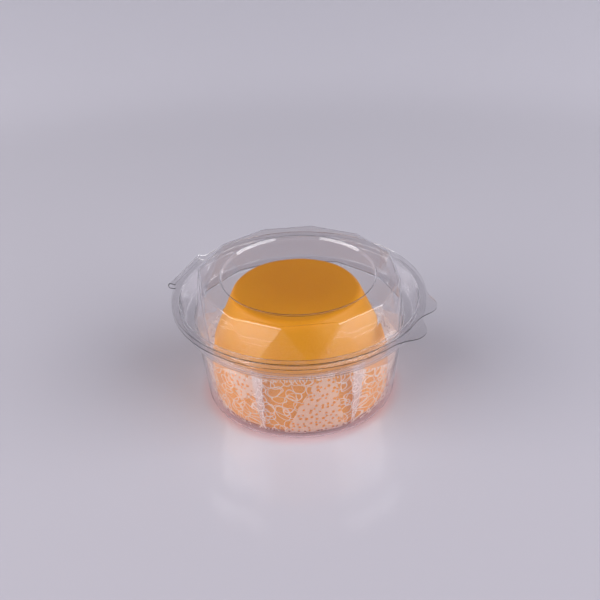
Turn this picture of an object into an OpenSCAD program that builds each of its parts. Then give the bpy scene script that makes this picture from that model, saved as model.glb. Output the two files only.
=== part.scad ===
/* [Sheet] */
// Thickness of the clear thermoformed sheet
sheet_t = 0.4; // [0.3:0.05:0.6]
// Radius of the bends between walls, ledge and flanges
bend_r = 0.9; // [0.6:0.1:1.4]

/* [Bowl] */
// Outer diameter of the bowl's wall just under the ledge, which the whole pack follows
bowl_d = 100; // [80:0.5:130]
// How far the bowl's wall leans in on each side, down to the table
bowl_draft = 4.5; // [2:0.1:7]
// Height of the ledge's upper side above the table
ledge_h = 41.2; // [34:0.2:48]
// Radius of the round corner between the bowl's wall and its floor
bowl_corner_r = 3; // [2:0.5:6]
// Width of the foot, the ring round the floor's raised panel
foot_w = 7.5; // [6:0.1:15]
// Height of the raised floor panel above the table
floor_panel_h = 0.8; // [0.4:0.1:1.5]

/* [Rim] */
// Width of the ledge round the bowl
ledge_w = 4.8; // [4:0.1:8]
// Height of the seat wall, from the ledge up to the base flange
seat_wall_h = 9; // [7:0.5:12]
// How far the seat wall leans out on each side, up to the base flange
seat_draft = 1.9; // [1:0.1:2.5]
// Width of the flanges outside the seat wall
flange_w = 3.3; // [2.8:0.1:8]
// Air between the base flange and the lid flange
rim_gap = 2.2; // [1.8:0.1:3]
// Air between the lid's channel wall and the seat wall
lock_gap = 0.4; // [0.3:0.05:0.6]
// Air under the lid's channel where it sits over the ledge
seat_gap = 0.3; // [0.25:0.05:0.5]

/* [Lid] */
// Number of corners round the lid's shoulder
corner_count = 12; // [8:1:12]
// Width of the lid's channel, from the facets' foot corners to the ledge's edge
channel_w = 4.5; // [3.8:0.1:7]
// How far the facets lean in on each side, up to the shoulder's corners
facet_draft = 2.3; // [1.5:0.1:5]
// Height of the shoulder above the lid flange
dome_h = 10.5; // [7:0.1:20]
// Radius of the rounded edge between the facets and the shoulder
shoulder_round = 1.4; // [0.8:0.1:2]
// Width of the shoulder at its corners, round the top's sunk panel
shoulder_w = 11.3; // [6:0.1:16]
// Depth of the sunk top panel
top_panel_drop = 1.6; // [0.8:0.1:2.5]
// Lean of the sunk panel's step, in degrees from upright
top_panel_draft = 30; // [10:1:45]

/* [Hinge] */
// Length of the living hinge along its fold
hinge_w = 29.8; // [20:0.2:36]
// How far the fold's axis lies outside the flanges
hinge_out = 0.7; // [0.5:0.1:2]
// Air between the base's curl and the lid's bead round it
hinge_gap = 0.25; // [0.2:0.05:0.35]

/* [Tabs] */
// How far the lid's opening tab stands out of the flange
lid_tab_out = 5.4; // [4:0.1:9]
// How far the base's opening tab stands out of the flange
base_tab_out = 6.2; // [4:0.1:9]
// Angle between the two tabs, each half of it from the front
tab_spread = 18; // [0:1:30]
// Radius of a tab's round tip
tab_tip_r = 9; // [7:0.5:12]
// Radius of the hollow where a tab leaves the flange
tab_root_r = 20; // [12:1:24]

/* [Cake] */
// Free space between the cake and the lid's sunk panel
cake_headroom = 6.8; // [4.4:0.1:12]
// Air between the cake's bottom edge and the wrap
cake_foot_room = 0.55; // [0.3:0.05:4]
// Air between the cake's widest place and the wrap
cake_room = 1; // [0.8:0.05:4]
// Height of the cake's widest place above its bottom
cake_belly_h = 16; // [10:1:24]
// Height above its bottom where the cake's side turns inwards
cake_waist_h = 28; // [26:1:38]
// How far the side has come in there on each side
cake_waist_in = 2.35; // [1:0.05:5]
// How far the top edge lies inside that turn on each side, before it is rounded
cake_top_in = 10.7; // [4:0.1:14]
// Radius of the cake's rounded top edge
cake_top_r = 3; // [2:0.5:8]

/* [Film wrap] */
// Thickness of the wrap's film
film_t = 0.25; // [0.2:0.05:0.4]
// Room between the wrap's side and the bowl's wall, measured at the table
film_room = 1.2; // [1:0.1:4]
// How far the edge of the wrap's bottom lies inside its side
film_foot_in = 1.6; // [1.2:0.1:5]
// How far an overlap stands out of the wrap's side
film_lap = 1.2; // [0.6:0.1:1.8]
// Air between the contents and what they rest on
rest_gap = 0.1; // [0.05:0.05:0.2]

/* [Hidden] */

$fn = 96;
half_t = sheet_t / 2;
// How far a cut runs past the face that it opens
over = 1;
// Thickness of a slice that a facet is drawn between
slice_t = 0.01;

// Radii of the sheet's middle line along the bowl
bowl_top_r = bowl_d / 2 - half_t;
bowl_bottom_r = bowl_top_r - bowl_draft;
floor_panel_r = bowl_d / 2 - bowl_draft - foot_w;

// Radii of the ledge's outer edge, of the base flange's inner edge and of both flanges' outer edge
ledge_r = bowl_d / 2 + ledge_w;
mouth_r = ledge_r + seat_draft;
flange_r = mouth_r + flange_w;

// Heights of the sheet's middle line above the table
ledge_z = ledge_h - half_t;
base_flange_z = ledge_z + seat_wall_h;
lid_flange_z = base_flange_z + sheet_t + rim_gap;
channel_z = ledge_z + sheet_t + seat_gap;
top_z = lid_flange_z + half_t + dome_h;

// The lid's channel wall keeps lock_gap to the seat wall, and leans as it does
wall_lean = (mouth_r - ledge_r) / seat_wall_h;
wall_step = (sheet_t + lock_gap) * sqrt(1 + wall_lean * wall_lean);
function channel_wall_r(z) = ledge_r + (z - ledge_z) * wall_lean - wall_step;

// Facets of the lid, from the underside of the channel's floor up to the top
facet_foot_z = channel_z - half_t;
facet_foot_r = ledge_r - channel_w;
shoulder_r = facet_foot_r - facet_draft;
top_panel_r = shoulder_r - shoulder_w;
corner_step = 360 / corner_count;
facet_inset = sheet_t / cos(corner_step / 2);
round_steps = 3;

// The fold's axis lies midway between the flanges; the base curls round it and the lid's bead lies over the curl
hinge_y = flange_r + hinge_out;
hinge_z = (base_flange_z + lid_flange_z) / 2;
curl_r = (lid_flange_z - base_flange_z) / 2;
curl_end = 55;
bead_r = curl_r + sheet_t + hinge_gap;
bead_start = 180 - asin(curl_r / bead_r);
bead_end = 75;
bead_foot = bead_r * cos(bead_start);
hinge_root = 2.4;

tab_bite = 0.06;
tab_depth = 1.6;

// The wrap lies on the floor panel and stands inside the bowl's wall
film_z = floor_panel_h + sheet_t + rest_gap;
film_side_r = bowl_d / 2 - bowl_draft - film_room;
film_bottom_r = film_side_r - film_foot_in;

// The cake lies on the wrap and stands inside it, under the lid
cake_z = film_z + film_t + rest_gap;
cake_top_z = top_z - top_panel_drop - sheet_t - cake_headroom;
cake_bottom_r = film_bottom_r - film_t - cake_foot_room;
cake_belly_r = film_side_r - film_t - cake_room;
cake_waist_r = cake_belly_r - cake_waist_in;
cake_corner_r = 4;
cake_side_r = 30;

// Overlaps of the wrap: the angle of each one's edge, and the height of the film's top from there on
LAPS = [[20, 28], [62, 27], [104, 26], [152, 32], [181, 35], [240, 29], [285, 26], [330, 28]];
lap_stations = 11;
lap_edge = 1;
film_levels = 8;
film_foot_power = 6;

// Point v turned by the angle a
function turned(v, a) = [v[0] * cos(a) - v[1] * sin(a), v[0] * sin(a) + v[1] * cos(a)];

// Arc of radius r in the corner p between the points a and b
function bend(a, p, b, r) =
    let (
        u = (a - p) / norm(a - p),
        v = (b - p) / norm(b - p),
        half = acos(u * v) / 2,
        centre = p + (u + v) / norm(u + v) * r / sin(half),
        start = p + u * r / tan(half) - centre,
        end = p + v * r / tan(half) - centre,
        turn = atan2(cross(start, end), start * end),
        steps = max(3, ceil(abs(turn) / 15))
    )
    [for (k = [0 : steps]) centre + turned(start, turn * k / steps)];

// Path with each inner corner rounded to its own radius
function bent(path, radii) = [
    for (i = [0 : len(path) - 1])
        each i == 0 || i == len(path) - 1 || radii[i] == 0
            ? [path[i]]
            : bend(path[i - 1], path[i], path[i + 1], radii[i])
];

// Unit vector square to the stretch from a to b
function square_to(a, b) = [a[1] - b[1], b[0] - a[0]] / norm(b - a);

// The path moved sideways by d
function beside(path, d) =
    let (last = len(path) - 1)
    [
        for (i = [0 : last])
            let (
                m = square_to(path[max(0, i - 1)], path[max(1, i)]),
                n = square_to(path[min(last - 1, i)], path[min(last, i + 1)])
            )
            path[i] + d * (m + n) / (1 + m * n)
    ];

// Outline of a sheet of even thickness t along a middle line
function sheet_outline(path, t) =
    let (back = beside(path, -t / 2))
    concat(beside(path, t / 2), [for (i = [len(back) - 1 : -1 : 0]) back[i]]);

// Sheet turned round the pack's axis along a middle line with its bends
module turned_sheet(path, radii) {
    rotate_extrude()
        polygon(sheet_outline(bent(path, radii), sheet_t));
}

// Flat plate of the sheet's thickness, on the flange plane z
module plate(z) {
    translate([0, 0, z - half_t])
        linear_extrude(sheet_t)
            children();
}

// Opening tab that leaves the flange in two hollows and ends in a round tip
module tab_outline(out) {
    tip_y = flange_r + out - tab_tip_r;
    root_reach = flange_r + tab_root_r - tab_bite;
    tip_reach = tab_tip_r + tab_root_r - tab_bite;
    root_angle = acos((tip_y ^ 2 + root_reach ^ 2 - tip_reach ^ 2) / (2 * tip_y * root_reach));
    root_x = root_reach * sin(root_angle);
    root_y = root_reach * cos(root_angle);
    difference() {
        union() {
            polygon([[0, 0], [root_x, root_y], [0, tip_y], [-root_x, root_y]]);
            translate([0, tip_y])
                circle(tab_tip_r);
        }
        for (side = [-1, 1])
            translate([side * root_x, root_y])
                circle(tab_root_r);
        circle(flange_r - tab_depth);
    }
}

// Ring sector of the sheet's thickness round the fold's axis, in the fold's cross section
module fold_arc(r, from, to) {
    far = 2 * (r + sheet_t);
    middle = (from + to) / 2;
    intersection() {
        difference() {
            circle(r + half_t);
            circle(r - half_t);
        }
        polygon([[0, 0], far * [cos(from), sin(from)], far * [cos(middle), sin(middle)], far * [cos(to), sin(to)]]);
    }
}

// Cross section of the fold drawn out along the hinge
module along_hinge() {
    translate([-hinge_w / 2, hinge_y, hinge_z])
        rotate([90, 0, 90])
            linear_extrude(hinge_w)
                children();
}

// The base's flange goes on into the curl round the fold's axis
module base_hinge() {
    along_hinge() {
        translate([-hinge_out - hinge_root, -curl_r - half_t])
            square([hinge_out + hinge_root, sheet_t]);
        fold_arc(curl_r, -90, curl_end);
    }
}

// The lid's flange rises into the bead that covers the curl
module lid_hinge_bead() {
    along_hinge() {
        translate([-hinge_out - hinge_root, curl_r - half_t])
            square([hinge_out + hinge_root + bead_foot, sheet_t]);
        fold_arc(bead_r, bead_end, bead_start);
    }
}

module base_shell() {
    color([0.84, 0.89, 0.94, 0.4])
        union() {
            turned_sheet(
                [
                    [0, floor_panel_h + half_t],
                    [floor_panel_r, floor_panel_h + half_t],
                    [floor_panel_r + floor_panel_h, half_t],
                    [bowl_bottom_r, half_t],
                    [bowl_top_r, ledge_z],
                    [ledge_r, ledge_z],
                    [mouth_r, base_flange_z],
                    [flange_r, base_flange_z]
                ],
                [0, sheet_t, sheet_t, bowl_corner_r, bend_r, bend_r, bend_r, 0]
            );
            plate(base_flange_z)
                rotate(180 - tab_spread / 2)
                    tab_outline(base_tab_out);
            base_hinge();
        }
}

// Corners of the shoulder or of the facets' feet, as one thin slice whose top is at z
module corner_slice(r, z, turn) {
    translate([0, 0, z - slice_t])
        rotate(turn)
            linear_extrude(slice_t)
                circle(r, $fn = corner_count);
}

// Body that the lid's facets enclose: a foot with corners, and a rounded shoulder turned by half a step
module faceted_dome(inset) {
    hull() {
        corner_slice(facet_foot_r - inset, facet_foot_z + slice_t, 0);
        for (k = [0 : round_steps]) {
            lift = 90 * k / round_steps;
            corner_slice(
                shoulder_r - inset - shoulder_round * (1 - cos(lift)),
                top_z - inset - shoulder_round * (1 - sin(lift)),
                corner_step / 2
            );
        }
    }
}

// Round panel sunk into the lid's top, grown by the sheet's thickness on its underside
module top_panel(grow) {
    panel_z = top_z - top_panel_drop - grow;
    panel_r = top_panel_r + grow;
    step = (top_z - panel_z) * tan(top_panel_draft);
    translate([0, 0, panel_z])
        cylinder(h = top_z - panel_z, r1 = panel_r - step, r2 = panel_r);
    translate([0, 0, top_z])
        cylinder(h = over, r = panel_r);
}

module lid_shell() {
    channel_r = channel_wall_r(channel_z);
    rim_r = channel_wall_r(lid_flange_z);
    color([0.8, 0.87, 0.95, 0.4])
        difference() {
            union() {
                difference() {
                    faceted_dome(0);
                    top_panel(0);
                }
                difference() {
                    turned_sheet(
                        [
                            [facet_foot_r * cos(corner_step / 2) - over, channel_z],
                            [channel_r, channel_z],
                            [rim_r, lid_flange_z],
                            [flange_r, lid_flange_z]
                        ],
                        [0, bend_r, bend_r, 0]
                    );
                    translate([-hinge_w / 2, hinge_y + bead_foot, lid_flange_z - sheet_t])
                        cube([hinge_w, flange_r, 2 * sheet_t]);
                }
                plate(lid_flange_z)
                    rotate(180 + tab_spread / 2)
                        tab_outline(lid_tab_out);
                lid_hinge_bead();
            }
            difference() {
                faceted_dome(facet_inset);
                top_panel(sheet_t);
            }
            translate([0, 0, facet_foot_z - over])
                cylinder(h = over, r = facet_foot_r - facet_inset, $fn = corner_count);
        }
}

module cake() {
    path = [
        [0, cake_z],
        [cake_bottom_r, cake_z],
        [cake_belly_r, cake_z + cake_belly_h],
        [cake_waist_r, cake_z + cake_waist_h],
        [cake_waist_r - cake_top_in, cake_top_z],
        [0, cake_top_z]
    ];
    color([0.93, 0.62, 0.16])
        rotate_extrude()
            polygon(bent(path, [0, cake_corner_r, cake_side_r, cake_side_r, cake_top_r, 0]));
}

// Stations round the wrap, each with its angle, how far the overlap has lifted there, and the film's top
film_stations = [
    for (i = [0 : len(LAPS) - 1])
        let (
            from = LAPS[i][0],
            to = LAPS[(i + 1) % len(LAPS)][0] + (i == len(LAPS) - 1 ? 360 : 0)
        )
        for (k = [0 : lap_stations - 1])
            let (share = k / (lap_stations - 1))
            [from + (to - lap_edge - from) * share, share ^ 2, LAPS[i][1]]
];

// Radius of the wrap's side at the share s of its height, moved out where an overlap has lifted
function film_r(s, lift) =
    film_side_r - film_foot_in * (1 - s) ^ film_foot_power + film_lap * lift * sqrt(s);

// One side of the film, in rings from the bottom up, moved in and up by inset
function film_points(inset) = [
    for (level = [0 : film_levels])
        for (station = film_stations)
            let (
                s = level / film_levels,
                r = film_r(s, station[1]) - inset,
                z = film_z + inset + (station[2] - film_z - inset) * s
            )
            [r * cos(station[0]), r * sin(station[0]), z]
];

module film_wrap() {
    n = len(film_stations);
    inner = n * (film_levels + 1);
    top = n * film_levels;
    outer_faces = [
        for (level = [0 : film_levels - 1])
            for (i = [0 : n - 1])
                let (a = level * n + i, b = level * n + (i + 1) % n)
                each [[a, a + n, b], [b, a + n, b + n]]
    ];
    inner_faces = [for (face = outer_faces) [inner + face[0], inner + face[2], inner + face[1]]];
    rim_faces = [
        for (i = [0 : n - 1])
            let (a = top + i, b = top + (i + 1) % n)
            each [[a, inner + a, b], [b, inner + a, inner + b]]
    ];
    bottom_faces = [[for (i = [0 : n - 1]) i], [for (i = [n - 1 : -1 : 0]) inner + i]];
    color([0.99, 0.9, 0.84, 0.7])
        polyhedron(
            points = concat(film_points(0), film_points(film_t)),
            faces = concat(outer_faces, inner_faces, rim_faces, bottom_faces)
        );
}

base_shell();
lid_shell();
cake();
film_wrap();
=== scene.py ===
# %% [markdown]
# # A clear round clamshell pack with a film-wrapped cake
# The pack is one clear sheet, heated and formed into two halves that share a living hinge: a smooth
# round bowl, and a lid whose walls are cut like a gem. Inside lies a small golden cake, folded up
# in clear film with a white lace print. We dress the measured model in this order: camera, clear
# sheet, the two halves, the hinge's web, the cake, the film, and last the table and the lights.
# Clear things show mostly what surrounds them, so the lights matter as much as the meshes.

# %% Load the measured model
import math

import bpy
import numpy as np
from mathutils import Matrix, Vector


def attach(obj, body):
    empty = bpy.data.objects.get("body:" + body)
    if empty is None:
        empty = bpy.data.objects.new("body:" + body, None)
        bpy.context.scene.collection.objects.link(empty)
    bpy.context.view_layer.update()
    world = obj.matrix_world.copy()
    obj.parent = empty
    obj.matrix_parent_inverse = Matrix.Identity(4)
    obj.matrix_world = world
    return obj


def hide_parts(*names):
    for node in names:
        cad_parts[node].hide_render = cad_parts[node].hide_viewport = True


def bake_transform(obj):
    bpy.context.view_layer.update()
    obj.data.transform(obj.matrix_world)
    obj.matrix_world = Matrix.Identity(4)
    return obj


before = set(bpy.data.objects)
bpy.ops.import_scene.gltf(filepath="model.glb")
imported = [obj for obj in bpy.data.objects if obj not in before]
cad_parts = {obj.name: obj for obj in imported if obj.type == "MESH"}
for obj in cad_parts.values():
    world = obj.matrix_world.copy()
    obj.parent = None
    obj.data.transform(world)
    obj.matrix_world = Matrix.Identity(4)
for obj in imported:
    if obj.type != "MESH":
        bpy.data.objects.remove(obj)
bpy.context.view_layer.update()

MM = 0.001

# %% [markdown]
# ## Camera
# The photograph looks down on the pack by about 32 degrees, with the fold behind on the left and
# the two opening tabs on the right. The camera stands half a metre away, aims at a point near the
# rim, and leans by a small roll. All of that was worked out from the flanges' ellipses, the lid's
# corners and the foot.

# %% Camera
CAMERA_TURN = math.radians(-66)
CAMERA_HEIGHT_ANGLE = math.radians(31.67)
CAMERA_ROLL = math.radians(1.72)
CAMERA_DISTANCE = 500 * MM
CAMERA_AIM = Vector((0.2, -0.44, 48.05)) * MM
SENSOR = 36
LENS = 63.16

# Level directions towards the photograph's side of the pack, and away from it
FRONT = (math.sin(CAMERA_TURN), -math.cos(CAMERA_TURN), 0.0)
BEHIND = tuple(-v for v in FRONT)

camera_data = bpy.data.cameras.new("camera")
camera_data.sensor_width = SENSOR
camera_data.lens = LENS
camera_data.clip_start = 0.01
camera = bpy.data.objects.new("camera", camera_data)
bpy.context.scene.collection.objects.link(camera)
look_back = Vector((
    math.sin(CAMERA_TURN) * math.cos(CAMERA_HEIGHT_ANGLE),
    -math.cos(CAMERA_TURN) * math.cos(CAMERA_HEIGHT_ANGLE),
    math.sin(CAMERA_HEIGHT_ANGLE),
))
straight = look_back.to_track_quat("Z", "Y").to_matrix().to_4x4()
leaning = Matrix.Rotation(-CAMERA_ROLL, 4, "Z")
standing = Matrix.Translation(CAMERA_AIM + CAMERA_DISTANCE * look_back)
camera.matrix_world = standing @ straight @ leaning
bpy.context.scene.camera = camera
print("camera at", [round(v, 3) for v in camera.matrix_world.translation])

# %% [markdown]
# ## Sizes
# Every size is in millimetres, and follows the measured model. A formed sheet is drawn along its
# middle line, and gets its wall from a Solidify modifier at the end, half to each side.

# %% Sizes of the formed sheet
SHEET = 0.4
HALF = SHEET / 2
BOWL_FOOT_R = 45.3
BOWL_TOP_R = 49.8
LEDGE_R = 54.8
MOUTH_R = 56.7
FLANGE_R = 60.0
FLOOR_PANEL_R = 38.0
FLOOR_PANEL_Z = 1.0
LEDGE_Z = 41.0
BASE_FLANGE_Z = 50.0
LID_FLANGE_Z = 52.6
CHANNEL_Z = 41.7
CHANNEL_R = 54.13
LID_MOUTH_R = 56.43
SHOULDER_R = 47.8
FACET_FOOT_R = 50.1
LID_TOP_Z = 63.1
TOP_PANEL_R = 36.7
TOP_PANEL_Z = 61.5
BEND_R = 0.9
FOLD_Y = 60.7
FOLD_Z = (BASE_FLANGE_Z + LID_FLANGE_Z) / 2
FOLD_HALF_W = 14.9
BASE_TAB_TURN = 261
LID_TAB_TURN = 279
BASE_TAB_OUT = 6.2
LID_TAB_OUT = 5.4
TAB_TIP_R = 9.0
TAB_ROOT_R = 20.0

# %% [markdown]
# ## The flanges' outline
# Seen from above, each flange is a circle with two departures: a straight land that reaches out to
# the fold, and an opening tab with a round tip that leaves the circle in two hollows. Each stretch
# is a line or an arc, so the outline can be worked out exactly on any ray from the pack's axis. The
# rays are one degree apart, with extra ones at the fold's corners, so that these stay crisp.

# %% Outline of a flange
# Both lands stop just short of the fold, so that they don't touch when the lid lies open
FOLD_GAP = 0.04
LAND_Y = FOLD_Y - FOLD_GAP
FOLD_CORNER = math.degrees(math.atan2(FOLD_HALF_W, LAND_Y))
FOLD_ROOT = math.degrees(math.asin(FOLD_HALF_W / FLANGE_R))
FOLD_TURN = 90


def off_centre(turn, centre):
    """Angle between two directions in degrees, without its sign."""
    return abs((turn - centre + 180) % 360 - 180)


def land_reach(turn):
    """Distance to the fold's straight land on the ray at this turn."""
    away = off_centre(turn, FOLD_TURN)
    if away <= FOLD_CORNER:
        return LAND_Y / math.cos(math.radians(away))
    if away < FOLD_ROOT:
        return FOLD_HALF_W / math.sin(math.radians(away))
    return FLANGE_R


def tab_reach(turn, tab_turn, out):
    """Distance to an opening tab's edge on the ray at this turn."""
    away = math.radians(off_centre(turn, tab_turn))
    tip_centre = FLANGE_R + out - TAB_TIP_R
    root_centre = FLANGE_R + TAB_ROOT_R
    both = TAB_TIP_R + TAB_ROOT_R
    root_turn = math.acos(
        (tip_centre ** 2 + root_centre ** 2 - both ** 2) / (2 * tip_centre * root_centre)
    )
    meet_x = root_centre * math.sin(root_turn) * TAB_TIP_R / both
    meet_y = tip_centre + (root_centre * math.cos(root_turn) - tip_centre) * TAB_TIP_R / both
    meet_turn = math.atan2(meet_x, meet_y)
    if away < meet_turn:
        side = tip_centre * math.sin(away)
        return tip_centre * math.cos(away) + math.sqrt(TAB_TIP_R ** 2 - side ** 2)
    if away < root_turn:
        side = root_centre * math.sin(root_turn - away)
        hollow = math.sqrt(max(0, TAB_ROOT_R ** 2 - side ** 2))
        return root_centre * math.cos(root_turn - away) - hollow
    return FLANGE_R


def outline(tab_turn, tab_out):
    """A flange's distance from the axis on each ray."""
    return np.array([max(land_reach(t), tab_reach(t, tab_turn, tab_out)) for t in TURNS])


CORNER_TURNS = [
    FOLD_TURN + side * corner for corner in (FOLD_CORNER, FOLD_ROOT) for side in (-1, 1)
]
TURNS = sorted([float(t) for t in range(360)] + CORNER_TURNS)
COUNT = len(TURNS)
BASE_EDGE = outline(BASE_TAB_TURN, BASE_TAB_OUT)
LID_EDGE = outline(LID_TAB_TURN, LID_TAB_OUT)
print("rays:", COUNT, "base and lid reach", round(BASE_EDGE.max(), 2), round(LID_EDGE.max(), 2))

# %% [markdown]
# ## Bends
# A formed sheet has no sharp corners: the hot sheet bridges them in small arcs. This helper rounds
# the corners of a path, each to its own radius, and gives back the path's points.

# %% Round the bends of a path
ARC_STEP = math.radians(12)
LEAST_ARC_STEPS = 4


def bend(before, corner, after, radius):
    """Points of the arc that rounds one corner of a path."""
    u = (before - corner).normalized()
    v = (after - corner).normalized()
    half = u.angle(v) / 2
    centre = corner + (u + v).normalized() * radius / math.sin(half)
    start = corner + u * radius / math.tan(half) - centre
    turn = (corner + v * radius / math.tan(half) - centre).angle_signed(start)
    steps = max(LEAST_ARC_STEPS, math.ceil(abs(turn) / ARC_STEP))
    return [centre + Matrix.Rotation(turn * k / steps, 2) @ start for k in range(steps + 1)]


def bent(path, radii):
    """The path with each corner rounded, as a list of (radius, height)."""
    corners = [Vector(p) for p in path]
    points = []
    for i, (corner, radius) in enumerate(zip(corners, radii)):
        if radius == 0:
            points.append(corner)
        else:
            points += bend(corners[i - 1], corner, corners[i + 1], radius)
    return [(p.x, p.y) for p in points]


def stretched(path, longest):
    """The path with points added, so that no stretch is longer than this."""
    points = [path[0]]
    for a, b in zip(path, path[1:]):
        steps = max(1, math.ceil(math.dist(a, b) / longest))
        points += [
            (a[0] + (b[0] - a[0]) * k / steps, a[1] + (b[1] - a[1]) * k / steps)
            for k in range(1, steps + 1)
        ]
    return points


# %% [markdown]
# ## Node helpers
# Node trees for forms and for materials are built from code, so a few short helpers add a node and
# plug in its inputs.

# %% Node helpers
def node(tree, kind, inputs=None, **settings):
    """Adds a node, sets its properties and plugs in its inputs, by index or name."""
    made = tree.nodes.new(kind)
    for key, value in settings.items():
        setattr(made, key, value)
    for key, value in (inputs or {}).items():
        if isinstance(value, bpy.types.NodeSocket):
            tree.links.new(value, made.inputs[key])
        else:
            made.inputs[key].default_value = value
    return made


def calculate(tree, operation, *values):
    """A Math node's result."""
    return node(tree, "ShaderNodeMath", dict(enumerate(values)), operation=operation).outputs[0]


def read(tree, name):
    """A named number on each point."""
    found = node(tree, "GeometryNodeInputNamedAttribute", {"Name": name}, data_type="FLOAT")
    return found.outputs["Attribute"]


def mixed(tree, share, a, b):
    """a where the share is 0, and b where it is 1."""
    return calculate(tree, "MULTIPLY_ADD", calculate(tree, "SUBTRACT", b, a), share, a)


def input_id(tree, name):
    """Identifier of a group input."""
    return next(
        item.identifier
        for item in tree.interface.items_tree
        if item.name == name and item.in_out == "INPUT"
    )


def number_inputs(tree, numbers):
    """Gives a group its named number inputs, with their values."""
    for name, value in numbers.items():
        number = tree.interface.new_socket(name, in_out="INPUT", socket_type="NodeSocketFloat")
        number.default_value = value


def new_material(name):
    """An empty node material and its tree."""
    material = bpy.data.materials.new(name)
    material.use_nodes = True
    material.node_tree.nodes.clear()
    return material, material.node_tree


def show(tree, shader):
    """Puts a shader on a material's surface."""
    node(tree, "ShaderNodeOutputMaterial", {"Surface": shader})


def shade(tree, kind, inputs=None, **settings):
    """Adds a shader or texture node and gives back its first output."""
    return node(tree, kind, inputs, **settings).outputs[0]


def noise(tree, place, scale, detail):
    """A noise texture's number."""
    return shade(tree, "ShaderNodeTexNoise", {"Vector": place, "Scale": scale, "Detail": detail})


def bump(tree, height, strength, distance):
    """A normal that is bent as if the surface had this height."""
    return shade(tree, "ShaderNodeBump", {
        "Height": height, "Strength": strength, "Distance": distance,
    })


# Places of a Mix node's colours among its sockets
MIX_A = 6
MIX_B = 7
MIX_RESULT = 2


def blended(tree, share, a, b):
    """Colour a where the share is 0, and b where it is 1."""
    colours = {MIX_A: a, MIX_B: b}
    return node(tree, "ShaderNodeMix", {0: share, **colours}, data_type="RGBA").outputs[MIX_RESULT]


def ramp(tree, value, start, end, low=0.0, high=1.0, kind="LINEAR"):
    """A number that goes from low to high while the value goes from start to end."""
    return node(tree, "ShaderNodeMapRange", {
        "Value": value, "From Min": start, "From Max": end, "To Min": low, "To Max": high,
    }, interpolation_type=kind).outputs[0]


def vector(tree, operation, *values, output="Vector"):
    """A Vector Math node's result."""
    made = node(tree, "ShaderNodeVectorMath", dict(enumerate(values)), operation=operation)
    return made.outputs[output]


def measure(tree, operation, *values):
    """A Vector Math node's number, such as a length or a distance."""
    return vector(tree, operation, *values, output="Value")


def cover(obj, material):
    """The object wears this material alone."""
    obj.data.materials.clear()
    obj.data.materials.append(material)


# %% [markdown]
# ## Clear sheet
# The sheet is real clear plastic with a real thickness, so light bends in its rims, bends and tabs,
# which draws them as thin dark lines, while a flat wall hardly shows. Slow waves in the surface,
# left by forming, pull the reflections into streaks. Light that only passes through on its way from
# a lamp takes a simple clear shader, so that the cake isn't left in the dark.

# %% Clear sheet material
SHEET_IOR = 1.43
SHEET_TINT = (0.988, 0.981, 0.986, 1)
LAMPLIGHT_PASSES = (0.95, 0.955, 0.96, 1)


def clear_sheet(name):
    """Material of the clear sheet."""
    material, tree = new_material(name)
    place = node(tree, "ShaderNodeTexCoord").outputs["Object"]
    waves = noise(tree, place, 45.0, 1.0)
    normal = bump(tree, waves, 0.12, 0.002)
    plastic = shade(tree, "ShaderNodeBsdfPrincipled", {
        "Base Color": SHEET_TINT,
        "Roughness": 0.02,
        "IOR": SHEET_IOR,
        "Transmission Weight": 1.0,
        "Normal": normal,
    })
    passed = shade(tree, "ShaderNodeBsdfTransparent", {"Color": LAMPLIGHT_PASSES})
    path = node(tree, "ShaderNodeLightPath").outputs
    lighting = calculate(tree, "MAXIMUM", path["Is Shadow Ray"], path["Is Diffuse Ray"])
    skin = shade(tree, "ShaderNodeMixShader", {0: lighting, 1: plastic, 2: passed})
    show(tree, skin)
    return material


base_clear = clear_sheet("clear_base_sheet")
lid_clear = clear_sheet("clear_lid_sheet")
print("clear sheet:", base_clear.name, "and", lid_clear.name)

# %% [markdown]
# ## Rings of points
# Both halves are rings of points, one ring for each place along the profile, on the same rays. The
# innermost ring closes on a single point. Attributes carry what the facets need later.

# %% Build a sheet from rings
def link(obj):
    """Puts an object into the scene."""
    bpy.context.scene.collection.objects.link(obj)
    return obj


def mesh_object(name, points, faces):
    """A smooth mesh object from points in millimetres."""
    mesh = bpy.data.meshes.new(name)
    mesh.from_pydata([tuple(float(c) * MM for c in p) for p in points], [], faces)
    mesh.shade_smooth()
    mesh.update()
    return link(bpy.data.objects.new(name, mesh))


def ring_faces(rings, count):
    """A fan of faces round the first point, and faces between the rings of points after it."""
    faces = [(0, 1 + k, 1 + (k + 1) % count) for k in range(count)]
    for ring in range(rings - 1):
        inner = 1 + ring * count
        outer = inner + count
        for k in range(count):
            n = (k + 1) % count
            faces.append((inner + k, outer + k, outer + n, inner + n))
    return faces


def apply_modifiers(obj):
    """Turns the object's modifiers into plain mesh."""
    graph = bpy.context.evaluated_depsgraph_get()
    result = bpy.data.meshes.new_from_object(obj.evaluated_get(graph))
    result.name = obj.name
    obj.modifiers.clear()
    obj.data = result


SHARP_FROM = 50


def thicken(obj, thickness):
    """Gives a middle surface its wall, half to each side."""
    wall = obj.modifiers.new("wall", "SOLIDIFY")
    wall.thickness = thickness * MM
    wall.offset = 0
    wall.use_even_offset = True
    wall.use_rim = True
    apply_modifiers(obj)
    obj.data.set_sharp_from_angle(angle=math.radians(SHARP_FROM))


# %% [markdown]
# ## The base
# The bowl is a plain round form: a floor with a raised panel, so that the pack stands on a ring, a
# wall that leans out for its draft, a ledge, a short seat wall for the lid's channel, and the
# flange. Only the flange's outer points leave the circle, where they follow the outline above.

# %% Base
RAYS = np.radians(np.array(TURNS))
FLANGE_SHARES = (0.0, 0.25, 0.5, 0.75, 0.96, 1.0)
FOOT_BEND_R = 3
PANEL_BEND_R = 0.5
LONGEST = 3.0


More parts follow.
